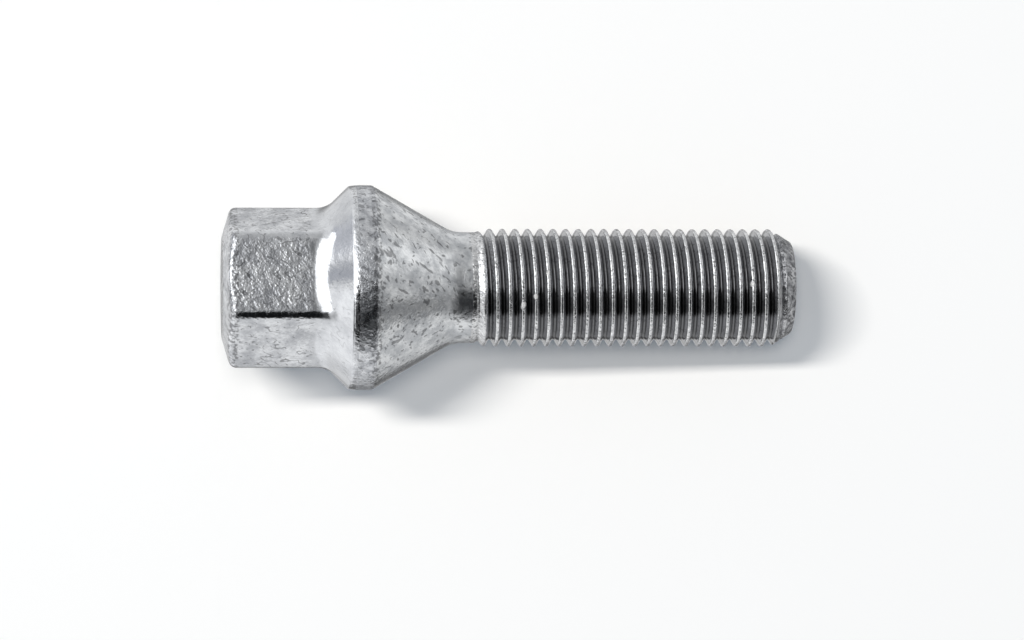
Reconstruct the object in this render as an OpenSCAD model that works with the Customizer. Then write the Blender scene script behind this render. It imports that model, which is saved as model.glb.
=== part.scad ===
// Wheel bolt with a hexagonal head, a round collar and a conical seat.
// It stands on its head: the end face of the head is at z = 0 and the
// shank points up along +Z. Two of the hexagon's flats face -Y and +Y.
// All lengths are in millimetres and all angles in degrees.

/* [Hexagon] */
// Width of the hexagon across its flats
hex_af = 16.8; // [15:0.1:19]
// Radius of the hexagon's six upright corners
hex_corner_r = 1.4; // [0.6:0.1:2.4]
// Diameter of the flat face that the head ends in
end_flat_d = 12; // [8:0.5:13]
// Slope of the shallow bevel round that flat face
end_slope = 16; // [8:1:25]
// Radius where the bevel turns into the hexagon's flats
end_round_r = 1; // [0.4:0.1:1.4]

/* [Flare and collar] */
// Height of the collar's edge above the head's end face
grip_h = 14.9; // [13:0.1:20]
// Slope of the flare from the hexagon out to the collar, from the axis
flare_angle = 46; // [38:1:55]
// Radius of the hollow between the hexagon's flats and the flare
flare_r = 2.6; // [1:0.1:3.2]
// Diameter of the round collar
collar_d = 24; // [22:0.5:28]
// Thickness of the collar at its rim
collar_t = 2.55; // [1.5:0.05:5]
// Length of the small bevel on the collar's lower edge
rim_bevel = 0.3; // [0.1:0.05:0.5]
// Radius of the collar's upper edge, where the seat starts
rim_round_r = 0.5; // [0.1:0.05:0.8]

/* [Seat and shank] */
// Included angle of the conical seat
seat_angle = 60; // [50:1:90]
// Radius of the hollow where the seat runs into the shank
neck_r = 4; // [1:0.5:5]
// Diameter of the plain shank under the seat
shank_d = 13; // [12:0.1:13.4]
// Length from the seat's small end to the tip
shank_len = 40; // [25:1:60]
// Length from the seat's small end to the thread's full diameter
plain_len = 3.4; // [2.6:0.1:8]

/* [Thread and tip] */
// Outer diameter of the thread
thread_d = 13.85; // [13.6:0.01:14]
// Slope of the run-in from the shank up to the thread, from the axis
runin_angle = 40; // [30:1:60]
// Diameter of the flat face at the tip
tip_d = 10.8; // [9:0.1:12]
// Slope of the tip's chamfer, from the axis
tip_angle = 33; // [25:1:45]
// Radius of the edge between the chamfer and the tip's face
tip_round_r = 0.3; // [0.1:0.05:0.5]

/* [Smoothness] */
// Steps in each rounded edge or hollow
arc_steps = 6; // [3:1:8]
// Columns across each flat of the hexagon
flat_steps = 8; // [4:1:12]
// Columns round each corner of the hexagon
corner_steps = 4; // [2:1:6]

/* [Hidden] */

hex_sides = 6;
side_angle = 360 / hex_sides;
first_flat_angle = 30;
$fn = 120;

hex_r = hex_af / 2;
end_flat_r = end_flat_d / 2;
collar_r = collar_d / 2;
shank_r = shank_d / 2;
thread_r = thread_d / 2;
tip_r = tip_d / 2;

// Heights of the turned features, counted up from the head's end face
seat_z = grip_h + collar_t;
neck_z = seat_z + (collar_r - shank_r) / tan(seat_angle / 2);
thread_z = neck_z + plain_len;
runin_z = thread_z - (thread_r - shank_r) / tan(runin_angle);
tip_z = neck_z + shank_len;
chamfer_z = tip_z - (thread_r - tip_r) / tan(tip_angle);

// Centre of each upright corner's rounding, and where it meets the flat
corner_centre_r = (hex_r - hex_corner_r) / cos(side_angle / 2);
flat_half_angle = atan((hex_r - hex_corner_r) * tan(side_angle / 2) / hex_r);
corner_angle = side_angle - 2 * flat_half_angle;

function unit(v) = v / norm(v);

// Points of the arc of radius r that rounds corner b between a and c
function corner_arc(a, b, c, r) =
    let (
        to_a = unit(a - b),
        to_c = unit(c - b),
        half_angle = acos(to_a * to_c) / 2,
        centre = b + unit(to_a + to_c) * r / sin(half_angle),
        start = b + to_a * r / tan(half_angle) - centre,
        end = b + to_c * r / tan(half_angle) - centre,
        start_angle = atan2(start[1], start[0]),
        end_angle = atan2(end[1], end[0]),
        turn = (end_angle - start_angle + 540) % 360 - 180
    )
    [for (i = [0:arc_steps])
        let (angle = start_angle + turn * i / arc_steps)
        centre + r * [cos(angle), sin(angle)]];

// Distance from the axis to the hexagon's outline, off_flat degrees away
// from the middle of a flat
function outline_r(off_flat) =
    abs(off_flat) <= flat_half_angle
        ? hex_r / cos(off_flat)
        : let (off_corner = side_angle / 2 - abs(off_flat))
          corner_centre_r * cos(off_corner)
              + sqrt(pow(hex_corner_r, 2) - pow(corner_centre_r * sin(off_corner), 2));

// Angles of the columns of one side, from the middle of its flat: first
// across the flat, then round the corner that follows it
side_columns = concat(
    [for (i = [0:flat_steps - 1]) flat_half_angle * (2 * i / flat_steps - 1)],
    [for (i = [0:corner_steps - 1]) flat_half_angle + corner_angle * i / corner_steps]);

function past_corner(off_flat) =
    off_flat > side_angle / 2 ? off_flat - side_angle : off_flat;

columns = [for (side = [0:hex_sides - 1], off_flat = side_columns)
    [first_flat_angle + side * side_angle + off_flat, outline_r(past_corner(off_flat))]];

// The flare ends in the bevel of the collar's lower edge, half as steep,
// which runs on past the rim so that the rim's cylinder trims it
rim_overrun = 0.2;
rim_low = [collar_r, grip_h];
flare_end = rim_low - rim_bevel * [sin(flare_angle), cos(flare_angle)];
bevel_w = collar_r + rim_overrun - flare_end[0];
bevel_end = flare_end + [bevel_w, bevel_w / tan(flare_angle / 2)];

// Half section through the head where the hexagon's outline is wall_r from
// the axis: end face, bevel, flat, hollow, flare and the rim's bevel
function grip_section(wall_r) =
    let (
        face_edge = [end_flat_r, 0],
        bevel_top = [wall_r, (wall_r - end_flat_r) * tan(end_slope)],
        flare_base = [wall_r, grip_h - (collar_r - wall_r) / tan(flare_angle)]
    )
    concat(
        [face_edge],
        corner_arc(face_edge, bevel_top, flare_base, end_round_r),
        corner_arc(bevel_top, flare_base, rim_low, flare_r),
        [flare_end, bevel_end]);

// Loft of the grip: a section for each column, joined to the next one round
module grip_loft() {
    sections = [for (column = columns) grip_section(column[1])];
    rings = len(sections[0]);
    count = len(columns);
    points = [for (ring = [0:rings - 1], i = [0:count - 1])
        let (angle = columns[i][0], spot = sections[i][ring])
        [spot[0] * cos(angle), spot[0] * sin(angle), spot[1]]];
    walls = [for (ring = [0:rings - 2], i = [0:count - 1])
        let (
            low = ring * count,
            high = low + count,
            next = (i + 1) % count
        )
        each [[low + i, high + i, high + next], [low + i, high + next, low + next]]];
    end_face = [for (i = [0:count - 1]) i];
    collar_face = [for (i = [count - 1:-1:0]) (rings - 1) * count + i];
    polyhedron(points, concat([end_face], walls, [collar_face]), convexity = 4);
}

// Forged grip, trimmed to the collar's rim
module hexagon_grip() {
    intersection() {
        grip_loft();
        cylinder(h = seat_z, r = collar_r);
    }
}

// Turned body: collar, conical seat, plain shank, thread length and tip
module turned_body() {
    rim_foot = [collar_r, bevel_end[1]];
    rim_high = [collar_r, seat_z];
    seat_end = [shank_r, neck_z];
    runin_foot = [shank_r, runin_z];
    thread_end = [thread_r, chamfer_z];
    tip_edge = [tip_r, tip_z];
    tip_centre = [0, tip_z];
    rotate_extrude()
        polygon(concat(
            [[0, bevel_end[1]], rim_foot],
            corner_arc(rim_foot, rim_high, seat_end, rim_round_r),
            corner_arc(rim_high, seat_end, runin_foot, neck_r),
            [runin_foot, [thread_r, thread_z], thread_end],
            corner_arc(thread_end, tip_edge, tip_centre, tip_round_r),
            [tip_centre]));
}

module wheel_bolt() {
    color("silver")
        union() {
            hexagon_grip();
            turned_body();
        }
}

wheel_bolt();
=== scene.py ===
import math
import bmesh
import bpy
from mathutils import Matrix, Vector, noise as noiseTools


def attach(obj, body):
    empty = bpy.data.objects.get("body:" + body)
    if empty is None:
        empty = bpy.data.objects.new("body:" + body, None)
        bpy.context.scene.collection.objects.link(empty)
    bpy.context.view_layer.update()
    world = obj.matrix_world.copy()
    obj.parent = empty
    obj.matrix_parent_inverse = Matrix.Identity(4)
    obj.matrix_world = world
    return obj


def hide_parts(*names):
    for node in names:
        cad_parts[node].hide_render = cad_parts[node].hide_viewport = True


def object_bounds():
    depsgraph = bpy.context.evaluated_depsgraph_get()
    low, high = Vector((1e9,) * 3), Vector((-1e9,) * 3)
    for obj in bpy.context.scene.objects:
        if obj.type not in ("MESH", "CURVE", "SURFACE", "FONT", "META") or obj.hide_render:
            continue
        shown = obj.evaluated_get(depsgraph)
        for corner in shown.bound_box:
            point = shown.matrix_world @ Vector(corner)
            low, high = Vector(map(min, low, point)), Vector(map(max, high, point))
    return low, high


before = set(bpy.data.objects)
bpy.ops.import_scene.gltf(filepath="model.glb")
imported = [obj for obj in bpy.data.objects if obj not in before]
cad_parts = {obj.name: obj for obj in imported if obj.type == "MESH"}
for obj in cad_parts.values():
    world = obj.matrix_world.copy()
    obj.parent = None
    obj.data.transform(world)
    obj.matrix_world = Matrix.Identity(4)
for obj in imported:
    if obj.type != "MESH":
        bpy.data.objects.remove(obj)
cadLow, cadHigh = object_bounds()
print("frame loaded")

perMillimetre = 0.001
fullTurn = 2 * math.pi
nearCut = 0.01                  # millimetres that still count as on a cut

# sizes in millimetres, heights counted up from the head's end face
headSizes = {
    "flatWidth": 16.8,          # hexagon across its flats
    "cornerRadius": 1.4,
    "firstFlat": 30,            # degrees from +X to the middle of a flat
    "endFlatRadius": 6.0,
    "endEdgeRadius": 0.8,       # soft edge between end face and bevel
    "bevelSlope": 16,
    "bevelRadius": 0.45,        # at the flats
    "cornerSoftening": 0.4,     # growth of that radius out to the corners
    "collarEdge": 14.75,        # height of the collar's lower edge
    "collarThickness": 2.7,
    "collarLowRadius": 0.15,
    "rimLeanHeight": 1.25,      # how far up the collar's rim leans outward
    "rimLean": 12,              # its steepest slope
    "collarHighRadius": 0.8,
    "flareSlope": 46,
    "flareRadius": 3.2,
    "seatSlope": 30,
    "neckRadius": 4.0,
    "shankRadius": 6.5,
    "shankEnd": 28.6,           # last ring before the thread
    "flatColumns": 16,
    "cornerColumns": 12,
    "arcSteps": 8,
    "edgeSteps": 3,             # in the end face's soft edge
    "rimSteps": 5,              # in the rim's lean
    "highSteps": 4,             # in the collar's upper edge
    "faceRows": 4,
    "bevelRows": 3,
    "wallRows": 14,
    "flareRows": 3,
    "rimRows": 4,
    "seatRows": 16,
    "smoothFlare": (9.8, 10.8),  # heights where the flare's smoother skin starts
    "smoothEnd": 0.4,           # how far past the collar's edge it fades out
    "cornerWear": 0.35,         # how worn the upright corners are
    "cornerWearStart": (1.0, 1.8),
    "rimSkinStart": 0.8,        # height over the collar's edge where the rim's skin starts
    "waviness": 0.025,          # how far the forged skin strays
    "wavinessLength": 3.2,
    "wavinessStart": (0, 2),
    "mergeDistance": 1e-4,
}

threadSizes = {
    "pitch": 1.5,
    "crestRadius": 6.93,
    "rootRadius": 6.08,
    "crestWidth": 0.27,
    "crestRounding": 0.19,
    "rootRounding": 0.17,
    "raggedness": 0.03,         # how far the crest strays
    "raggedLength": 0.55,
    "raggedRarity": 0.6,        # noise height above which it stays even
    "flankSlope": 30,
    "flankRows": 2,
    "arcSteps": 3,
    "crestHeight": 31.33,       # height of a crest at crestAngle
    "crestAngle": 189.55,
    "lowCut": 28.9,
    "highCut": 66.2,
    "chamferStart": 65.1,
    "grooveStart": (29.1, 30.5),  # where the groove sinks in
    "crestStart": (29.4, 31.0),   # where the crest rises
    "tipRadius": 5.4,
    "tipSlope": 33,
    "tipRounding": 0.3,
    "tipSteps": 5,
    "tipFaceRings": (0.05, 0.4, 0.7),  # shares of the way in to the axis
    "columns": 120,
    "mergeDistance": 1e-3,
    "cutTolerance": 1e-5,
}

totalHeight = cadHigh.z / perMillimetre
collarRadius = cadHigh.x / perMillimetre


def cornerArc(before, corner, after, radius, steps):
    toBefore = (before - corner).normalized()
    toAfter = (after - corner).normalized()
    halfAngle = toBefore.angle(toAfter) / 2
    centre = corner + (toBefore + toAfter).normalized() * radius / math.sin(halfAngle)
    start = corner + toBefore * radius / math.tan(halfAngle) - centre
    end = corner + toAfter * radius / math.tan(halfAngle) - centre
    startAngle = math.atan2(start.y, start.x)
    turn = (math.atan2(end.y, end.x) - startAngle + 3 * math.pi) % fullTurn - math.pi
    angles = [startAngle + turn * i / steps for i in range(steps + 1)]
    return [centre + radius * Vector((math.cos(a), math.sin(a))) for a in angles]


def between(start, end, count):
    return [start.lerp(end, (i + 1) / (count + 1)) for i in range(count)]


def smoothStep(low, high, value):
    share = min(max((value - low) / (high - low), 0), 1)
    return share * share * (3 - 2 * share)


def headColumns(sizes):
    halfWidth = sizes["flatWidth"] / 2
    sideAngle = fullTurn / 6
    inner = halfWidth - sizes["cornerRadius"]
    centreRadius = inner / math.cos(sideAngle / 2)
    flatHalf = math.atan(inner * math.tan(sideAngle / 2) / halfWidth)
    columns = []
    for side in range(6):
        middle = math.radians(sizes["firstFlat"]) + side * sideAngle
        for i in range(sizes["flatColumns"]):
            offset = flatHalf * (2 * i / sizes["flatColumns"] - 1)
            columns.append((middle + offset, halfWidth / math.cos(offset)))
        for i in range(sizes["cornerColumns"]):
            step = (sideAngle - 2 * flatHalf) * i / sizes["cornerColumns"]
            offset = sideAngle / 2 - flatHalf - step
            reach = centreRadius * math.cos(offset) + math.sqrt(
                sizes["cornerRadius"] ** 2 - (centreRadius * math.sin(offset)) ** 2)
            columns.append((middle + flatHalf + step, reach))
    return columns


def headSection(sizes, wallRadius):
    steps = sizes["arcSteps"]
    bevelRise = math.tan(math.radians(sizes["bevelSlope"]))
    flareRise = 1 / math.tan(math.radians(sizes["flareSlope"]))
    seatRise = 1 / math.tan(math.radians(sizes["seatSlope"]))
    middle = Vector((0, 0))
    endEdge = Vector((sizes["endFlatRadius"], 0))
    bevelTop = Vector((wallRadius, (wallRadius - endEdge.x) * bevelRise))
    lean = math.radians(sizes["rimLean"])
    leanRadius = sizes["rimLeanHeight"] / math.sin(lean)
    leanTop = sizes["collarEdge"] + sizes["rimLeanHeight"]
    rimLean = [Vector((collarRadius - leanRadius * (1 - math.cos(lean * share)),
                       leanTop - leanRadius * math.sin(lean * share)))
               for share in (1 - i / sizes["rimSteps"] for i in range(sizes["rimSteps"] + 1))]
    rimLow = rimLean[0]
    flareBase = Vector((wallRadius, rimLow.y - (collarRadius - wallRadius) * flareRise))
    rimHigh = Vector((collarRadius, sizes["collarEdge"] + sizes["collarThickness"]))
    seatDepth = collarRadius - sizes["shankRadius"]
    seatEnd = Vector((sizes["shankRadius"], rimHigh.y + seatDepth * seatRise))
    shankEnd = Vector((sizes["shankRadius"], sizes["shankEnd"]))
    endArc = cornerArc(middle, endEdge, bevelTop, sizes["endEdgeRadius"], sizes["edgeSteps"])
    beyondFlat = wallRadius - sizes["flatWidth"] / 2
    bevelRadius = sizes["bevelRadius"] + beyondFlat * sizes["cornerSoftening"]
    bevelArc = cornerArc(endEdge, bevelTop, flareBase, bevelRadius, steps)
    flareArc = cornerArc(bevelTop, flareBase, rimLow, sizes["flareRadius"], steps)
    lowArc = cornerArc(flareBase, rimLow, rimLean[1], sizes["collarLowRadius"], steps)
    highArc = cornerArc(rimLow, rimHigh, seatEnd, sizes["collarHighRadius"],
                        sizes["highSteps"])
    neckArc = cornerArc(rimHigh, seatEnd, shankEnd, sizes["neckRadius"], steps)
    return (
        [middle] + between(middle, endArc[0], sizes["faceRows"]) + endArc
        + between(endArc[-1], bevelArc[0], sizes["bevelRows"]) + bevelArc
        + between(bevelArc[-1], flareArc[0], sizes["wallRows"]) + flareArc
        + between(flareArc[-1], lowArc[0], sizes["flareRows"]) + lowArc + rimLean[1:]
        + between(rimLean[-1], highArc[0], sizes["rimRows"]) + highArc
        + between(highArc[-1], neckArc[0], sizes["seatRows"]) + neckArc
        + [shankEnd])


def makeHead(mesh, sizes):
    columns = headColumns(sizes)
    outline = headSection(sizes, sizes["flatWidth"] / 2)
    rowLayer = mesh.verts.layers.int.new("row")
    wearLayer = mesh.verts.layers.float.new("wear")
    sideColumns = sizes["flatColumns"] + sizes["cornerColumns"]
    profile = [mesh.verts.new((spot.x, 0, spot.y)) for spot in outline]
    for row, vert in enumerate(profile):
        vert[rowLayer] = row
    edges = [mesh.edges.new(pair) for pair in zip(profile, profile[1:])]
    bmesh.ops.spin(mesh, geom=profile + edges, cent=(0, 0, 0), axis=(0, 0, 1),
                   angle=fullTurn, steps=len(columns), use_merge=True)
    sections = [headSection(sizes, reach) for angle, reach in columns]
    for vert in mesh.verts:
        turned = math.atan2(vert.co.y, vert.co.x) / fullTurn * len(columns)
        column = round(turned) % len(columns)
        spot = sections[column][vert[rowLayer]]
        angle = columns[column][0]
        vert.co = (spot.x * math.cos(angle), spot.x * math.sin(angle), spot.y)
        onCorner = (column - 1) % sideColumns >= sizes["flatColumns"] - 1
        onFlare = smoothStep(*sizes["smoothFlare"], spot.y) * (1 - smoothStep(
            sizes["collarEdge"], sizes["collarEdge"] + sizes["smoothEnd"], spot.y))
        cornerWear = sizes["cornerWear"] * smoothStep(*sizes["cornerWearStart"], spot.y)
        vert[wearLayer] = max(onFlare, onCorner * cornerWear)
    bmesh.ops.remove_doubles(mesh, verts=mesh.verts[:], dist=sizes["mergeDistance"])


def waveSkin(mesh, sizes):
    # a forging is never quite even: the skin sinks a little here and there
    bmesh.ops.recalc_face_normals(mesh, faces=mesh.faces[:])
    mesh.normal_update()
    for vert in mesh.verts:
        fade = smoothStep(*sizes["wavinessStart"], vert.co.z) * (
            1 - smoothStep(sizes["collarEdge"], sizes["shankEnd"], vert.co.z))
        outward = math.copysign(1, vert.normal.x * vert.co.x + vert.normal.y * vert.co.y)
        sink = 0.5 - noiseTools.noise(vert.co / sizes["wavinessLength"]) / 2
        vert.co -= vert.normal * outward * sink * sizes["waviness"] * fade


def threadPeriod(sizes):
    depth = sizes["crestRadius"] - sizes["rootRadius"]
    flankRise = depth * math.tan(math.radians(sizes["flankSlope"]))
    crestHalf = sizes["crestWidth"] / 2
    rootFoot = crestHalf + flankRise
    rootEnd = sizes["pitch"] - rootFoot
    crest, root = sizes["crestRadius"], sizes["rootRadius"]
    crestMiddle = Vector((crest, 0))
    crestEdge = Vector((crest, crestHalf))
    rootStart = Vector((root, rootFoot))
    rootStop = Vector((root, rootEnd))
    nextEdge = Vector((crest, sizes["pitch"] - crestHalf))
    nextMiddle = Vector((crest, sizes["pitch"]))
    steps = sizes["arcSteps"]
    falling = cornerArc(crestMiddle, crestEdge, rootStart, sizes["crestRounding"], steps)
    bottom = cornerArc(crestEdge, rootStart, rootStop, sizes["rootRounding"], steps)
    climbing = cornerArc(rootStart, rootStop, nextEdge, sizes["rootRounding"], steps)
    rising = cornerArc(rootStop, nextEdge, nextMiddle, sizes["crestRounding"], steps)
    rows = sizes["flankRows"]
    return (falling + between(falling[-1], bottom[0], rows) + bottom
            + climbing + between(climbing[-1], rising[0], rows) + rising)


def threadEnvelope(sizes, shankRadius, reach, height):
    start = sizes["crestStart"] if reach > shankRadius else sizes["grooveStart"]
    formed = shankRadius + (reach - shankRadius) * smoothStep(*start, height)
    chamfer = sizes["tipRadius"] + (totalHeight - height) * math.tan(
        math.radians(sizes["tipSlope"]))
    return min(formed, chamfer)


def makeThread(mesh, sizes, shankRadius):
    pitch = sizes["pitch"]
    period = threadPeriod(sizes)
    # a turn or two more than needed, which the cuts take off
    firstTurn = math.floor((sizes["lowCut"] - sizes["crestHeight"]) / pitch) - 2
    lastTurn = math.ceil((sizes["highCut"] - sizes["crestHeight"]) / pitch) + 1
    startHeight = sizes["crestHeight"] - pitch * sizes["crestAngle"] / 360
    profile = []
    for turn in range(firstTurn, lastTurn):
        for spot in period:
            height = startHeight + turn * pitch + spot.y
            profile.append(mesh.verts.new((spot.x, 0, height)))
    edges = [mesh.edges.new(pair) for pair in zip(profile, profile[1:])]
    bmesh.ops.spin(mesh, geom=profile + edges, cent=(0, 0, 0), axis=(0, 0, 1),
                   dvec=(0, 0, pitch / sizes["columns"]), angle=fullTurn,
                   steps=sizes["columns"], use_merge=False)
    bmesh.ops.remove_doubles(mesh, verts=mesh.verts[:], dist=sizes["mergeDistance"])
    for vert in mesh.verts:
        reach = math.hypot(vert.co.x, vert.co.y)
        share = threadEnvelope(sizes, shankRadius, reach, vert.co.z) / reach
        if reach > shankRadius:
            stray = noiseTools.noise(vert.co / sizes["raggedLength"]) - sizes["raggedRarity"]
            share += min(stray, 0) * sizes["raggedness"] / reach
        vert.co.x *= share
        vert.co.y *= share
    for height, lower in ((sizes["lowCut"], True), (sizes["highCut"], False)):
        bmesh.ops.bisect_plane(mesh, geom=mesh.verts[:] + mesh.edges[:] + mesh.faces[:],
                               dist=sizes["cutTolerance"], plane_co=(0, 0, height),
                               plane_no=(0, 0, 1), clear_inner=lower, clear_outer=not lower)


def openEdges(mesh, low, high):
    return [edge for edge in mesh.edges if edge.is_boundary
            and all(low < vert.co.z < high for vert in edge.verts)]


def closeTip(mesh, sizes):
    cut = sizes["highCut"]
    coneEnd = Vector((sizes["tipRadius"], totalHeight))
    middle = Vector((0, totalHeight))
    rise = 1 / math.tan(math.radians(sizes["tipSlope"]))
    coneStart = Vector((sizes["tipRadius"] + (totalHeight - cut) / rise, cut))
    rings = cornerArc(coneStart, coneEnd, middle, sizes["tipRounding"], sizes["tipSteps"])
    rings += [rings[-1].lerp(middle, share) for share in sizes["tipFaceRings"]]
    edges = openEdges(mesh, cut - nearCut, cut + nearCut)
    for ring in rings:
        made = bmesh.ops.extrude_edge_only(mesh, edges=edges)["geom"]
        edges = [item for item in made if isinstance(item, bmesh.types.BMEdge)]
        for vert in {vert for edge in edges for vert in edge.verts}:
            share = ring.x / math.hypot(vert.co.x, vert.co.y)
            vert.co = (vert.co.x * share, vert.co.y * share, ring.y)
    made = bmesh.ops.extrude_edge_only(mesh, edges=edges)["geom"]
    last = [item for item in made if isinstance(item, bmesh.types.BMVert)]
    bmesh.ops.pointmerge(mesh, verts=last, merge_co=(0, 0, totalHeight))


def makeBolt(head, thread):
    mesh = bmesh.new()
    makeHead(mesh, head)
    waveSkin(mesh, head)
    # the head has three skins: forged, rim and seat, and the thread and tip follow
    rimStart = head["collarEdge"] + head["rimSkinStart"]
    rimTop = head["collarEdge"] + head["collarThickness"] + head["collarHighRadius"] / 4
    for face in mesh.faces:
        height = face.calc_center_median().z
        face.material_index = (height > rimStart) + (height > rimTop)
    headMesh = bpy.data.meshes.new("headOnly")
    mesh.to_mesh(headMesh)
    mesh.free()
    mesh = bmesh.new()
    makeThread(mesh, thread, head["shankRadius"])
    closeTip(mesh, thread)
    for face in mesh.faces:
        face.material_index = 3 + (face.calc_center_median().z > thread["chamferStart"])
    mesh.from_mesh(headMesh)
    bpy.data.meshes.remove(headMesh)
    bmesh.ops.bridge_loops(mesh, edges=openEdges(
        mesh, head["shankEnd"] - nearCut, thread["lowCut"] + nearCut))
    bmesh.ops.recalc_face_normals(mesh, faces=mesh.faces[:])
    print("closed:", not any(edge.is_boundary for edge in mesh.edges),
          "volume:", round(mesh.calc_volume(signed=True), 1),
          "triangles:", sum(len(face.verts) - 2 for face in mesh.faces))
    bmesh.ops.scale(mesh, vec=(perMillimetre,) * 3, verts=mesh.verts[:])
    for face in mesh.faces:
        face.smooth = True
    built = bpy.data.meshes.new("wheelBoltBody")
    mesh.to_mesh(built)
    mesh.free()
    piece = bpy.data.objects.new("wheelBoltBody", built)
    bpy.context.scene.collection.objects.link(piece)
    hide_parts("wheel_bolt")
    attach(piece, "root")
    return piece


bolt = makeBolt(headSizes, threadSizes)
print("bolt modelled")

viewValues = {
    "axisPoint": (0, 0, 34.04),  # point of the axis in the middle of the picture
    "belowAxis": 3.80,          # how far the picture's centre lies below the axis
    "distance": 493.4,
    "lens": 147.6,
    "sensorWidth": 36,
    "clipStart": 0.01,
    "azimuth": 9.55,            # degrees round the bolt's axis
    "tipTilt": 5.5,             # degrees that the tip leans away
}


def makeCamera(values):
    azimuth, tilt = math.radians(values["azimuth"]), math.radians(values["tipTilt"])
    axis = Vector((0, 0, 1))
    toCamera = Vector((math.sin(azimuth), -math.cos(azimuth), 0))
    up = Vector((-math.cos(azimuth), -math.sin(azimuth), 0))
    right = axis * math.cos(tilt) + toCamera * math.sin(tilt)
    back = toCamera * math.cos(tilt) - axis * math.sin(tilt)
    aim = Vector(values["axisPoint"]) - up * values["belowAxis"]
    place = (aim + back * values["distance"]) * perMillimetre
    data = bpy.data.cameras.new("photoCamera")
    data.lens = values["lens"]
    data.sensor_width = values["sensorWidth"]
    data.clip_start = values["clipStart"]
    camera = bpy.data.objects.new("photoCamera", data)
    bpy.context.scene.collection.objects.link(camera)
    turn = Matrix((right, up, back)).transposed().to_4x4()
    camera.matrix_world = Matrix.Translation(place) @ turn
    bpy.context.scene.camera = camera
    return right, up, back


imageRight, imageUp, imageBack = makeCamera(viewValues)
print("camera placed")


def addNode(nodes, kind, **settings):
    node = nodes.new(kind)
    for name, value in settings.items():
        setattr(node, name, value)
    return node


def startGroup(name, inputs, outputs):
    group = bpy.data.node_groups.new(name, "ShaderNodeTree")
    for socket, kind, value in inputs:
        made = group.interface.new_socket(socket, in_out="INPUT", socket_type=kind)
        if value is not None:
            made.default_value = value
    for socket, kind in outputs:
        group.interface.new_socket(socket, in_out="OUTPUT", socket_type=kind)
    given = addNode(group.nodes, "NodeGroupInput")
    result = addNode(group.nodes, "NodeGroupOutput")
    return group, group.nodes, group.links, given, result


def scaled(nodes, links, vector, scale):
    node = addNode(nodes, "ShaderNodeVectorMath", operation="SCALE")
    links.new(vector, node.inputs[0])
    links.new(scale, node.inputs["Scale"])
    return node.outputs["Vector"]


def slantedAlong(nodes, links, vector, degrees, stretch):
    # stretches a pattern along an axis that leans from +Z towards +X
    node = addNode(nodes, "ShaderNodeMapping", vector_type="TEXTURE")
    node.inputs["Rotation"].default_value = (0, math.radians(degrees), 0)
    node.inputs["Scale"].default_value = (1, 1, stretch)
    links.new(vector, node.inputs["Vector"])
    return node.outputs["Vector"]


def noiseAt(nodes, links, vector, scale, detail=1, roughness=0.5):
    node = addNode(nodes, "ShaderNodeTexNoise")
    node.inputs["Scale"].default_value = scale
    node.inputs["Detail"].default_value = detail
    node.inputs["Roughness"].default_value = roughness
    links.new(vector, node.inputs["Vector"])
    return node.outputs["Fac"]


def mathOf(nodes, links, operation, first, second=None):
    node = addNode(nodes, "ShaderNodeMath", operation=operation)
    for socket, value in zip(node.inputs, (first, second)):
        if isinstance(value, bpy.types.NodeSocket):
            links.new(value, socket)
        elif value is not None:
            socket.default_value = value
    return node.outputs[0]


def ranged(nodes, links, value, low, high, start=0.0, end=1.0):
    node = addNode(nodes, "ShaderNodeMapRange", interpolation_type="SMOOTHSTEP")
    for name, given in (("From Min", low), ("From Max", high), ("To Min", start), ("To Max", end)):
        if isinstance(given, bpy.types.NodeSocket):
            links.new(given, node.inputs[name])
        else:
            node.inputs[name].default_value = given
    links.new(value, node.inputs["Value"])
    return node.outputs["Result"]


# noise scales count per metre, slants are degrees from +Z towards +X
patternValues = {
    "grainScale": 2250,
    "grainDetail": 2,
    "grainSlant": 42,
    "grainStretch": 1.6,
    "gritScale": 4600,
    "gritHeight": 0.4,
    # slant, stretch, scale and extra rarity of each layer of nicks
    "nickLayers": [(38, 3.4, 2300, 0), (58, 2.6, 3100, 0.02), (-30, 3.0, 2700, 0.035)],
    "nickSoftness": 0.05,
    "hairScale": 650,
    "hairDetail": (2, 0.6),     # detail and roughness of the noise
    "hairSlant": 30,
    "hairStretch": 1.5,
    "hairWidth": (0.006, 0.022),
    "hairBreaks": 800,          # noise that breaks the scratches into lengths
    "hairSoftness": 0.06,
    "cloudScale": 420,
    "cloudDetail": (5, 0.65),
    "cloudRange": (0.34, 0.66),
    "flankReach": (0.00684, 0.00669),  # metres from the axis
    "rootReach": (0.00628, 0.00614),
    "grooveFade": 0.0007,
    "chamferFade": 0.0006,
    "speckScale": 2400,
    "speckRange": (0.46, 0.6),
}


def grainGroup(values):
    # height of a forged and plated skin: slanting grains with fine grit on them
    group, nodes, links, given, result = startGroup(
        "platingGrain",
        [("Vector", "NodeSocketVector", None), ("Grain Scale", "NodeSocketFloat", 1.0)],
        [("Height", "NodeSocketFloat")])
    spot = scaled(nodes, links, given.outputs["Vector"], given.outputs["Grain Scale"])
    slanted = slantedAlong(nodes, links, spot, values["grainSlant"], values["grainStretch"])
    grains = noiseAt(nodes, links, slanted, values["grainScale"], values["grainDetail"])
    grit = noiseAt(nodes, links, spot, values["gritScale"])
    fine = mathOf(nodes, links, "MULTIPLY", grit, values["gritHeight"])
    links.new(mathOf(nodes, links, "ADD", grains, fine), result.inputs["Height"])
    return group


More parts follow.
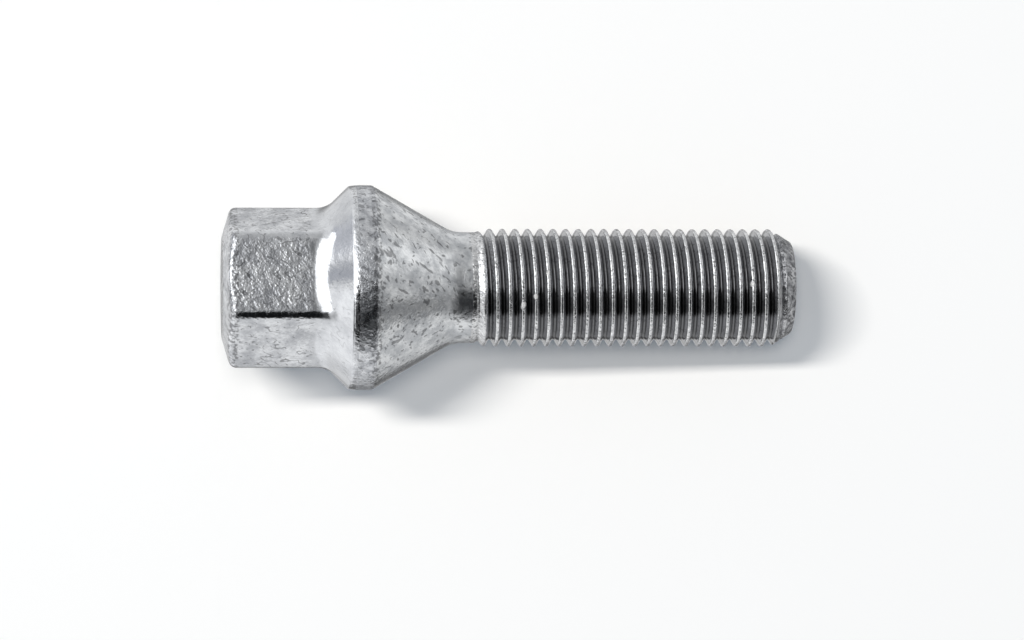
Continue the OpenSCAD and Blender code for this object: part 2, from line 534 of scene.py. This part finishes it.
def nickGroup(values):
    # short dark nicks that mostly slant the same way
    group, nodes, links, given, result = startGroup(
        "handlingNicks",
        [("Vector", "NodeSocketVector", None), ("Nick Scale", "NodeSocketFloat", 1.0),
         ("Rarity", "NodeSocketFloat", 0.62)],
        [("Mask", "NodeSocketFloat")])
    spot = scaled(nodes, links, given.outputs["Vector"], given.outputs["Nick Scale"])
    marks = None
    for slant, stretch, scale, rarer in values["nickLayers"]:
        slanted = slantedAlong(nodes, links, spot, slant, stretch)
        field = noiseAt(nodes, links, slanted, scale)
        low = mathOf(nodes, links, "ADD", given.outputs["Rarity"], rarer)
        high = mathOf(nodes, links, "ADD", low, values["nickSoftness"])
        mark = ranged(nodes, links, field, low, high)
        marks = mark if marks is None else mathOf(nodes, links, "MAXIMUM", marks, mark)
    links.new(marks, result.inputs["Mask"])
    return group


def hairGroup(values):
    # thin winding scratches, broken into short lengths
    group, nodes, links, given, result = startGroup(
        "windingScratches",
        [("Vector", "NodeSocketVector", None), ("Hair Scale", "NodeSocketFloat", 1.0),
         ("Rarity", "NodeSocketFloat", 0.55)],
        [("Mask", "NodeSocketFloat")])
    spot = scaled(nodes, links, given.outputs["Vector"], given.outputs["Hair Scale"])
    slanted = slantedAlong(nodes, links, spot, values["hairSlant"], values["hairStretch"])
    field = noiseAt(nodes, links, slanted, values["hairScale"], *values["hairDetail"])
    away = mathOf(nodes, links, "ABSOLUTE", mathOf(nodes, links, "SUBTRACT", field, 0.5))
    line = ranged(nodes, links, away, *values["hairWidth"], 1.0, 0.0)
    where = noiseAt(nodes, links, spot, values["hairBreaks"])
    high = mathOf(nodes, links, "ADD", given.outputs["Rarity"], values["hairSoftness"])
    kept = ranged(nodes, links, where, given.outputs["Rarity"], high)
    links.new(mathOf(nodes, links, "MULTIPLY", line, kept), result.inputs["Mask"])
    return group


def cloudGroup(values):
    # slow cloudiness of the plating
    group, nodes, links, given, result = startGroup(
        "platingClouds",
        [("Vector", "NodeSocketVector", None), ("Cloud Scale", "NodeSocketFloat", 1.0)],
        [("Mask", "NodeSocketFloat")])
    spot = scaled(nodes, links, given.outputs["Vector"], given.outputs["Cloud Scale"])
    clouds = noiseAt(nodes, links, spot, values["cloudScale"], *values["cloudDetail"])
    links.new(ranged(nodes, links, clouds, *values["cloudRange"]), result.inputs["Mask"])
    return group


def reachGroup(values):
    # masks by height and by distance from the bolt's axis: the groove's flanks and root, whose
    # darker colours are painted shade in the groove
    group, nodes, links, given, result = startGroup(
        "threadReach",
        [("Vector", "NodeSocketVector", None), ("First Groove", "NodeSocketFloat", 0.0303),
         ("Chamfer", "NodeSocketFloat", 0.0660)],
        [("Flank", "NodeSocketFloat"), ("Root", "NodeSocketFloat")])
    across = addNode(nodes, "ShaderNodeVectorMath", operation="MULTIPLY")
    across.inputs[1].default_value = (1, 1, 0)
    links.new(given.outputs["Vector"], across.inputs[0])
    reach = addNode(nodes, "ShaderNodeVectorMath", operation="LENGTH")
    links.new(across.outputs["Vector"], reach.inputs[0])
    split = addNode(nodes, "ShaderNodeSeparateXYZ")
    links.new(given.outputs["Vector"], split.inputs[0])
    height = split.outputs["Z"]
    first, last = given.outputs["First Groove"], given.outputs["Chamfer"]
    formed = mathOf(nodes, links, "ADD", first, values["grooveFade"])
    ending = mathOf(nodes, links, "SUBTRACT", last, values["chamferFade"])
    inside = mathOf(nodes, links, "MULTIPLY", ranged(nodes, links, height, first, formed),
                    ranged(nodes, links, height, ending, last, 1.0, 0.0))
    for name, key in (("Flank", "flankReach"), ("Root", "rootReach")):
        outer, inner = values[key]
        mask = ranged(nodes, links, reach.outputs["Value"], inner, outer, 1.0, 0.0)
        links.new(mathOf(nodes, links, "MULTIPLY", mask, inside), result.inputs[name])
    return group


def bandGroup(values):
    # ragged band round the bolt between two heights
    group, nodes, links, given, result = startGroup(
        "heightBand",
        [("Vector", "NodeSocketVector", None), ("Low", "NodeSocketFloat", 0.01),
         ("High", "NodeSocketFloat", 0.02), ("Edge", "NodeSocketFloat", 0.001),
         ("Raggedness", "NodeSocketFloat", 0.001), ("Spot Scale", "NodeSocketFloat", 900)],
        [("Mask", "NodeSocketFloat"), ("Dots", "NodeSocketFloat")])
    split = addNode(nodes, "ShaderNodeSeparateXYZ")
    links.new(given.outputs["Vector"], split.inputs[0])
    spots = addNode(nodes, "ShaderNodeTexNoise")
    spots.inputs["Detail"].default_value = 2
    links.new(given.outputs["Spot Scale"], spots.inputs["Scale"])
    links.new(given.outputs["Vector"], spots.inputs["Vector"])
    away = mathOf(nodes, links, "SUBTRACT", spots.outputs["Fac"], 0.5)
    strayed = mathOf(nodes, links, "MULTIPLY", away, given.outputs["Raggedness"])
    height = mathOf(nodes, links, "ADD", split.outputs["Z"], strayed)
    low, high, edge = (given.outputs[name] for name in ("Low", "High", "Edge"))
    above = ranged(nodes, links, height, low, mathOf(nodes, links, "ADD", low, edge))
    below = ranged(nodes, links, height, mathOf(nodes, links, "SUBTRACT", high, edge), high,
                   1.0, 0.0)
    band = mathOf(nodes, links, "MULTIPLY", above, below)
    specks = noiseAt(nodes, links, given.outputs["Vector"], values["speckScale"])
    dots = ranged(nodes, links, specks, *values["speckRange"])
    links.new(band, result.inputs["Mask"])
    links.new(mathOf(nodes, links, "MULTIPLY", band, dots), result.inputs["Dots"])
    return group


platingGrain = grainGroup(patternValues)
handlingNicks = nickGroup(patternValues)
windingScratches = hairGroup(patternValues)
platingClouds = cloudGroup(patternValues)
threadReach = reachGroup(patternValues)
heightBand = bandGroup(patternValues)


def placeGroup(nodes, links, group, vector, **values):
    node = addNode(nodes, "ShaderNodeGroup", node_tree=group)
    links.new(vector, node.inputs["Vector"])
    for name, value in values.items():
        node.inputs[name].default_value = value
    return node.outputs


def colourMix(nodes, links, mask, low, high):
    node = addNode(nodes, "ShaderNodeMix", data_type="RGBA")
    links.new(mask, node.inputs["Factor"])
    for name, value in (("A", low), ("B", high)):
        if isinstance(value, bpy.types.NodeSocket):
            links.new(value, node.inputs[name])
        else:
            node.inputs[name].default_value = (*value, 1)
    return node.outputs["Result"]


skinValues = {
    "grainRange": (0.55, 0.85),  # heights of the grain that turn from dull to bright
    "wornMarks": 0.3,           # what a worn place keeps of its marks
    "wornFading": 0.6,          # how far its cloudiness fades
    "flankRelief": 0.06,        # what the thread's flanks keep of the grain
    "dentCore": 0.6,            # share of a dent's reach that is fully bright
    "dentRoughness": 0.7,
    # white of the dents' painted highlights
    "dentHighlightColour": (1.0, 1.0, 1.0),
    "markColour": (0.05, 0.05, 0.055),
    "crestReach": 6.85,         # millimetres from the axis to the dents
}


def dentHighlightMask(nodes, links, vector, highlightDents, values):
    # small round dents on the crest, painted white as highlights
    dentHighlights = None
    for height, degrees, size in highlightDents:
        angle = math.radians(degrees)
        spot = Vector((values["crestReach"] * math.cos(angle),
                       values["crestReach"] * math.sin(angle), height)) * perMillimetre
        away = addNode(nodes, "ShaderNodeVectorMath", operation="DISTANCE")
        links.new(vector, away.inputs[0])
        away.inputs[1].default_value = spot
        reach = size * perMillimetre
        hit = ranged(nodes, links, away.outputs["Value"], reach, reach * values["dentCore"])
        dentHighlights = hit if dentHighlights is None else mathOf(nodes, links, "MAXIMUM", dentHighlights, hit)
    return dentHighlights


def makeZinc(name, finish, skin):
    material = bpy.data.materials.new(name)
    material.use_nodes = True
    nodes, links = material.node_tree.nodes, material.node_tree.links
    shader = nodes["Principled BSDF"]
    shader.inputs["Metallic"].default_value = 1
    vector = addNode(nodes, "ShaderNodeTexCoord").outputs["Object"]

    def combine(operation, first, second):
        return mathOf(nodes, links, operation, first, second)

    grain = placeGroup(nodes, links, platingGrain, vector, **finish["grain"])["Height"]
    clouds = placeGroup(nodes, links, platingClouds, vector, **finish["clouds"])["Mask"]
    nicks = placeGroup(nodes, links, handlingNicks, vector, **finish["nicks"])["Mask"]
    hairs = placeGroup(nodes, links, windingScratches, vector, **finish["hairs"])["Mask"]
    marks = combine("MAXIMUM", nicks, hairs)
    mottle = combine("ADD", combine("MULTIPLY", ranged(nodes, links, grain, *skin["grainRange"]),
                                    finish["grainShade"]),
                     combine("MULTIPLY", clouds, 1 - finish["grainShade"]))
    if "wornRelief" in finish:
        wear = addNode(nodes, "ShaderNodeAttribute", attribute_name="wear").outputs["Fac"]
        marks = combine("MULTIPLY", marks,
                        ranged(nodes, links, wear, 0, 1, 1.0, skin["wornMarks"]))
        fading = combine("MULTIPLY", wear, skin["wornFading"])
        mottle = combine("ADD", combine("MULTIPLY", mottle, combine("SUBTRACT", 1, fading)),
                         combine("MULTIPLY", fading, 0.5))
    relief = combine("ADD", grain, combine("MULTIPLY", marks, -finish["markDepth"]))
    roughness = ranged(nodes, links, clouds, 0, 1, *finish["roughness"])
    colour = colourMix(nodes, links, mottle, finish["dull"], finish["bright"])
    if "smudge" in finish:
        smudge = placeGroup(nodes, links, heightBand, vector, **finish["smudge"])["Mask"]
        roughness = combine("ADD", roughness,
                            combine("MULTIPLY", smudge, finish["smudgeRoughness"]))
    if "paintedFlankShade" in finish:
        reach = placeGroup(nodes, links, threadReach, vector)
        dentHighlights = dentHighlightMask(nodes, links, vector, finish["highlightDents"], skin)
        # the groove's flanks and root get darker colours: painted shade in the thread's groove,
        # deepest at the root
        colour = colourMix(nodes, links, reach["Flank"], colour, finish["paintedFlankShade"])
        colour = colourMix(nodes, links, reach["Root"], colour, finish["root"])
        # the dents on the crests are painted white: a painted highlight
        colour = colourMix(nodes, links, dentHighlights, colour, skin["dentHighlightColour"])
        smooth = combine("MULTIPLY", reach["Flank"], -finish["flankSmoothness"])
        roughness = combine("ADD", combine("ADD", roughness, smooth),
                            combine("MULTIPLY", dentHighlights, skin["dentRoughness"]))
        relief = combine("MULTIPLY", relief,
                         ranged(nodes, links, reach["Flank"], 0, 1, 1.0, skin["flankRelief"]))
    if "wornRelief" in finish:
        relief = combine("MULTIPLY", relief,
                         ranged(nodes, links, wear, 0, 1, 1.0, finish["wornRelief"]))
    shade = combine("MULTIPLY", marks, finish["markDarkness"])
    for band in finish.get("dirtyEdges", []):
        dots = placeGroup(nodes, links, heightBand, vector, **band)["Dots"]
        shade = combine("MAXIMUM", shade, combine("MULTIPLY", dots, finish["dirtDarkness"]))
    colour = colourMix(nodes, links, shade, colour, skin["markColour"])
    bump = addNode(nodes, "ShaderNodeBump")
    bump.inputs["Distance"].default_value = finish["bumpDepth"]
    links.new(relief, bump.inputs["Height"])
    links.new(colour, shader.inputs["Base Color"])
    links.new(roughness, shader.inputs["Roughness"])
    links.new(bump.outputs["Normal"], shader.inputs["Normal"])
    return material


forgedFinish = {                # hexagon and flare
    "dull": (0.48, 0.495, 0.525), "bright": (0.9, 0.92, 0.945), "grainShade": 0.25,
    "markDarkness": 0.56, "markDepth": 0.03,
    "dirtyEdges": [{"Low": 0.0004, "High": 0.0019, "Edge": 0.0003, "Raggedness": 0.0006}],
    "dirtDarkness": 0.6,
    "roughness": (0.2, 0.13), "bumpDepth": 0.88e-4, "wornRelief": 0.2,
    "grain": {"Grain Scale": 0.82}, "clouds": {"Cloud Scale": 1.0},
    "nicks": {"Nick Scale": 0.8, "Rarity": 0.69}, "hairs": {"Hair Scale": 0.8, "Rarity": 0.5},
}
rimFinish = {
    "dull": (0.43, 0.445, 0.475), "bright": (0.88, 0.9, 0.93), "grainShade": 0.5,
    "markDarkness": 0.5, "markDepth": 0.05,
    "dirtyEdges": [{"Low": 0.0151, "High": 0.0156, "Edge": 0.0002, "Raggedness": 0.0005},
                   {"Low": 0.0170, "High": 0.0180, "Edge": 0.0002, "Raggedness": 0.0005}],
    "dirtDarkness": 0.6,
    "roughness": (0.37, 0.27), "bumpDepth": 0.7e-4,
    "grain": {"Grain Scale": 0.9}, "clouds": {"Cloud Scale": 1.8},
    "nicks": {"Nick Scale": 0.8, "Rarity": 0.62}, "hairs": {"Hair Scale": 1.2, "Rarity": 0.6},
}
seatFinish = {
    "dull": (0.53, 0.55, 0.575), "bright": (0.93, 0.95, 0.965), "grainShade": 0.15,
    "markDarkness": 0.58, "markDepth": 0.08,
    "dirtyEdges": [{"Low": 0.0174, "High": 0.0182, "Edge": 0.0002, "Raggedness": 0.0006}],
    "dirtDarkness": 0.6,
    "roughness": (0.26, 0.17), "bumpDepth": 0.45e-4,
    "grain": {"Grain Scale": 0.85}, "clouds": {"Cloud Scale": 1.4},
    "nicks": {"Nick Scale": 0.62, "Rarity": 0.645}, "hairs": {"Hair Scale": 1.0, "Rarity": 0.62},
    "smudge": {"Low": 0.0245, "High": 0.032, "Edge": 0.002, "Raggedness": 0.006},
    "smudgeRoughness": 0.12,
}
threadFinish = {
    "dull": (0.58, 0.59, 0.605), "bright": (0.94, 0.95, 0.96), "grainShade": 0.5,
    # flank and root colours are painted shade: the groove is darkened in the colour, the root most
    "paintedFlankShade": (0.435, 0.44, 0.455), "root": (0.165, 0.167, 0.173), "flankSmoothness": 0.13,
    "markDarkness": 0.5, "markDepth": 0.3,
    "roughness": (0.26, 0.17), "bumpDepth": 0.8e-4,
    # dents on the crests, painted white as highlights: height, degrees from +X and reach
    "highlightDents": [(34.80, -63.3, 0.45), (34.52, -60.3, 0.34), (36.12, -71.3, 0.38),
              (37.58, -94.6, 0.34), (61.40, -83.8, 0.45)],
    "grain": {"Grain Scale": 1.3}, "clouds": {"Cloud Scale": 2.5},
    "nicks": {"Nick Scale": 1.2, "Rarity": 0.66}, "hairs": {"Hair Scale": 1.5, "Rarity": 0.58},
}
tipFinish = {
    "dull": (0.2, 0.205, 0.22), "bright": (0.72, 0.73, 0.75), "grainShade": 0.6,
    "markDarkness": 0.6, "markDepth": 0.3,
    "roughness": (0.34, 0.22), "bumpDepth": 1.4e-4,
    "grain": {"Grain Scale": 0.9}, "clouds": {"Cloud Scale": 2.5},
    "nicks": {"Nick Scale": 0.8, "Rarity": 0.6}, "hairs": {"Hair Scale": 1.2, "Rarity": 0.55},
}

for name, finish in (("forgedZinc", forgedFinish), ("rimZinc", rimFinish),
                     ("seatZinc", seatFinish), ("threadZinc", threadFinish),
                     ("tipZinc", tipFinish)):
    bolt.data.materials.append(makeZinc(name, finish, skinValues))
print("materials made")

lightValues = {
    "floorSize": 3.0,
    "floorColour": (0.9, 0.9, 0.9),
    # what the bolt mirrors: stops of brightness, or of a colour
    # light from beyond the head, by how far up the picture it comes from
    "headPole": [(-0.4, 1.05), (-0.13, 1.1), (-0.03, 1.05), (0.02, 0.9), (0.06, 0.7),
                 (0.1, (0.45, 0.46, 0.495)), (0.2, (0.45, 0.46, 0.495)), (0.33, 0.66),
                 (0.4, 0.72)],
    "headPoleSpan": (-0.4, 0.4),
    "tipPole": 0.5,
    # light from all round the bolt, by degrees up the picture from the camera
    "middleRing": [(-180, 0.72), (-170, 0.5), (-165, 0.15), (-148, 0.15), (-141, 0.62),
                   (-114, 0.64), (-105, 0.78), (-76, 0.86), (-70, 0.6), (-64, 0.005),
                   (-2, 0.005), (4, 0.4), (12, 0.46), (24, 0.5), (40, 0.52), (60, 0.5),
                   (90, 0.54), (104, 0.66), (130, 0.74), (147, 0.82), (153, 0.3),
                   (169, 0.3), (175, 0.72), (180, 0.72)],
    "headRing": [(-180, 0.7), (-150, 0.75), (-122, 1.02), (-92, 0.95), (-66, 0.6),
                 (-60, 0.08), (-14, 0.08), (-3, 1.85), (38, 1.85), (48, 0.9), (180, 0.8)],
    "flareRing": [(-180, 0.7), (-150, 0.78), (-128, 1.05), (-92, 1.0), (-65, 0.7),
                  (-48, 0.5), (-22, 0.8), (-5, 2.1), (90, 2.1), (98, (0.6, 0.61, 0.65)),
                  (118, (0.6, 0.61, 0.65)), (132, 0.74), (145, 0.84), (180, 0.84)],
    "tipRing": [(-180, 0.3), (-140, 0.42), (-110, 0.68), (-95, 0.72), (-74, 0.6),
                (-60, 0.26), (-34, 0.23), (-21, 0.47), (-5, 0.57), (27, 0.6), (41, 0.7),
                (57, 0.86), (71, 0.92), (88, 0.74), (100, 0.52), (131, 0.44), (170, 0.4)],
    # where each of them takes over, by how far the light comes from the tip's side
    "headRingFade": (-0.08, -0.26),
    "flareRingFade": (-0.52, -0.6),
    "tipRingFade": (0.46, 0.78),
    "headPoleFade": (-0.9, -0.97),
    "tipPoleFade": (0.94, 0.99),
    # dim patch in front of the bolt, a little towards the tip
    "patchLevel": 0.24,
    "patchFade": (0.05, 0.16),
    "patchStart": (-4, 4),
    "patchEnd": (45, 35),
    "boardSize": 0.26,
    "boardDepth": 10.3,         # how far the board lies behind the axis
    "boardColour": 0.95,
    "boardFade": (0.05, 0.2),   # gone when seen from the side
    "keyPower": 13.9,           # long soft box up and to the left of the camera
    "keySize": (0.14, 0.62),
    "keyUp": 0.283,
    "keyLeft": 0.5,
    "fillPower": 5.7,           # soft box beside the camera
    "fillSize": (0.35, 0.35),
    "fillUp": 0.08,
    "keyDistance": 1.5,
    "keyTint": (1.045, 1.005, 0.945),
    "topPower": 5.6,            # soft box beyond the tip
    "topBehind": 0.3,
    "topTint": (1.05, 1.0, 0.94),
    "topSize": (0.4, 0.4),
    "topDistance": 0.8,
    "ambient": (0.222, 0.262, 0.31),
}


def makeSheet(name, size, matrix):
    mesh = bmesh.new()
    bmesh.ops.create_grid(mesh, x_segments=1, y_segments=1, size=size / 2)
    mesh.transform(matrix)
    data = bpy.data.meshes.new(name)
    mesh.to_mesh(data)
    mesh.free()
    sheet = bpy.data.objects.new(name, data)
    bpy.context.scene.collection.objects.link(sheet)
    return sheet


def oneSided(name, colour, fade=None):
    material = bpy.data.materials.new(name)
    material.use_nodes = True
    nodes, links = material.node_tree.nodes, material.node_tree.links
    nodes.clear()
    output = addNode(nodes, "ShaderNodeOutputMaterial")
    diffuse = addNode(nodes, "ShaderNodeBsdfDiffuse")
    diffuse.inputs["Color"].default_value = (*colour, 1)
    clear = addNode(nodes, "ShaderNodeBsdfTransparent")
    mix = addNode(nodes, "ShaderNodeMixShader")
    hidden = addNode(nodes, "ShaderNodeNewGeometry").outputs["Backfacing"]
    if fade:
        slant = addNode(nodes, "ShaderNodeLayerWeight").outputs["Facing"]
        hidden = mathOf(nodes, links, "MAXIMUM", hidden, ranged(nodes, links, slant, *fade))
    links.new(hidden, mix.inputs["Fac"])
    links.new(diffuse.outputs[0], mix.inputs[1])
    links.new(clear.outputs[0], mix.inputs[2])
    links.new(mix.outputs[0], output.inputs["Surface"])
    return material


def makeLamp(name, direction, power, size, distance, centre, tint):
    data = bpy.data.lights.new(name, "AREA")
    data.energy = power
    data.color = tint
    data.shape = "RECTANGLE"
    data.size, data.size_y = size
    lamp = bpy.data.objects.new(name, data)
    bpy.context.scene.collection.objects.link(lamp)
    toward = direction.normalized()
    lamp.location = centre + toward * distance
    lamp.rotation_mode = "QUATERNION"
    lamp.rotation_quaternion = (-toward).to_track_quat("-Z", "Y")
    lamp.visible_glossy = False  # the world has what the bolt mirrors


def makeStage(values):
    floor = makeSheet("floor", values["floorSize"], Matrix.Identity(4))
    floor.data.materials.append(oneSided("paleFloor", values["floorColour"]))
    floor.visible_shadow = False
    floor.visible_diffuse = False
    floor.visible_glossy = False
    centre = Vector(viewValues["axisPoint"]) * perMillimetre
    place = centre - imageBack * values["boardDepth"] * perMillimetre
    turn = Matrix((imageRight, imageUp, imageBack)).transposed().to_4x4()
    board = makeSheet("board", values["boardSize"], Matrix.Translation(place) @ turn)
    board.data.materials.append(
        oneSided("paleBoard", (values["boardColour"],) * 3, values["boardFade"]))
    board.visible_shadow = False
    board.visible_diffuse = False
    board.visible_glossy = False
    board.visible_transmission = False
    toKey = imageBack + imageUp * values["keyUp"] - imageRight * values["keyLeft"]
    toFill = imageBack + imageUp * values["fillUp"]
    toTop = Vector((0, 0, 1)) - imageBack * values["topBehind"]
    makeLamp("keyLamp", toKey, values["keyPower"], values["keySize"], values["keyDistance"],
             centre, values["keyTint"])
    makeLamp("fillLamp", toFill, values["fillPower"], values["fillSize"],
             values["keyDistance"], centre, values["keyTint"])
    makeLamp("topLamp", toTop, values["topPower"], values["topSize"], values["topDistance"],
             centre, values["topTint"])


def makeWorld(values):
    world = bpy.data.worlds.new("studio")
    bpy.context.scene.world = world
    world.use_nodes = True
    nodes, links = world.node_tree.nodes, world.node_tree.links
    nodes.clear()
    output = addNode(nodes, "ShaderNodeOutputWorld")
    coordinates = addNode(nodes, "ShaderNodeTexCoord")

    def along(axis):
        dot = addNode(nodes, "ShaderNodeVectorMath", operation="DOT_PRODUCT")
        links.new(coordinates.outputs["Generated"], dot.inputs[0])
        dot.inputs[1].default_value = axis
        return dot.outputs["Value"]

    toCamera = (imageBack * Vector((1, 1, 0))).normalized()
    angle = mathOf(nodes, links, "ARCTAN2", along(imageUp), along(toCamera))
    degrees = mathOf(nodes, links, "DEGREES", angle)

    def levels(value, low, high, stops):
        share = addNode(nodes, "ShaderNodeMapRange")
        share.inputs["From Min"].default_value = low
        share.inputs["From Max"].default_value = high
        links.new(value, share.inputs["Value"])
        ramp = addNode(nodes, "ShaderNodeValToRGB")
        elements = ramp.color_ramp.elements
        while len(elements) < len(stops):
            elements.new(1)
        for element, (place, level) in zip(elements, stops):
            element.position = (place - low) / (high - low)
        for element, (place, level) in zip(elements, stops):
            shade = level if isinstance(level, tuple) else (level,) * 3
            element.color = (*shade, 1)
        links.new(share.outputs["Result"], ramp.inputs["Fac"])
        return ramp.outputs["Color"]

    def ring(name):
        return levels(degrees, -180, 180, values[name])

    def turnedTo(colour, fade, other):
        mask = ranged(nodes, links, tipward, *values[fade])
        return colourMix(nodes, links, mask, colour, other)

    tipward = along((0, 0, 1))
    colour = turnedTo(ring("middleRing"), "headRingFade", ring("headRing"))
    patch = ranged(nodes, links, tipward, *values["patchFade"])
    for fade in ("patchStart", "patchEnd"):
        patch = mathOf(nodes, links, "MULTIPLY", patch,
                       ranged(nodes, links, degrees, *values[fade]))
    colour = colourMix(nodes, links, patch, colour, (values["patchLevel"],) * 3)
    colour = turnedTo(colour, "flareRingFade", ring("flareRing"))
    colour = turnedTo(colour, "tipRingFade", ring("tipRing"))
    headPole = levels(along(imageUp), *values["headPoleSpan"], values["headPole"])
    colour = turnedTo(colour, "headPoleFade", headPole)
    colour = turnedTo(colour, "tipPoleFade", (values["tipPole"],) * 3)
    glossy = addNode(nodes, "ShaderNodeBackground")
    links.new(colour, glossy.inputs["Color"])
    ambient = addNode(nodes, "ShaderNodeBackground")
    ambient.inputs["Color"].default_value = (*values["ambient"], 1)
    white = addNode(nodes, "ShaderNodeBackground")
    white.inputs["Color"].default_value = (1, 1, 1, 1)
    light = addNode(nodes, "ShaderNodeLightPath")
    glossyMix = addNode(nodes, "ShaderNodeMixShader")
    links.new(light.outputs["Is Glossy Ray"], glossyMix.inputs["Fac"])
    links.new(ambient.outputs[0], glossyMix.inputs[1])
    links.new(glossy.outputs[0], glossyMix.inputs[2])
    cameraMix = addNode(nodes, "ShaderNodeMixShader")
    links.new(light.outputs["Is Camera Ray"], cameraMix.inputs["Fac"])
    links.new(glossyMix.outputs[0], cameraMix.inputs[1])
    links.new(white.outputs[0], cameraMix.inputs[2])
    links.new(cameraMix.outputs[0], output.inputs["Surface"])


makeStage(lightValues)
makeWorld(lightValues)
bpy.context.scene.view_settings.view_transform = "Standard"
print("stage lit")
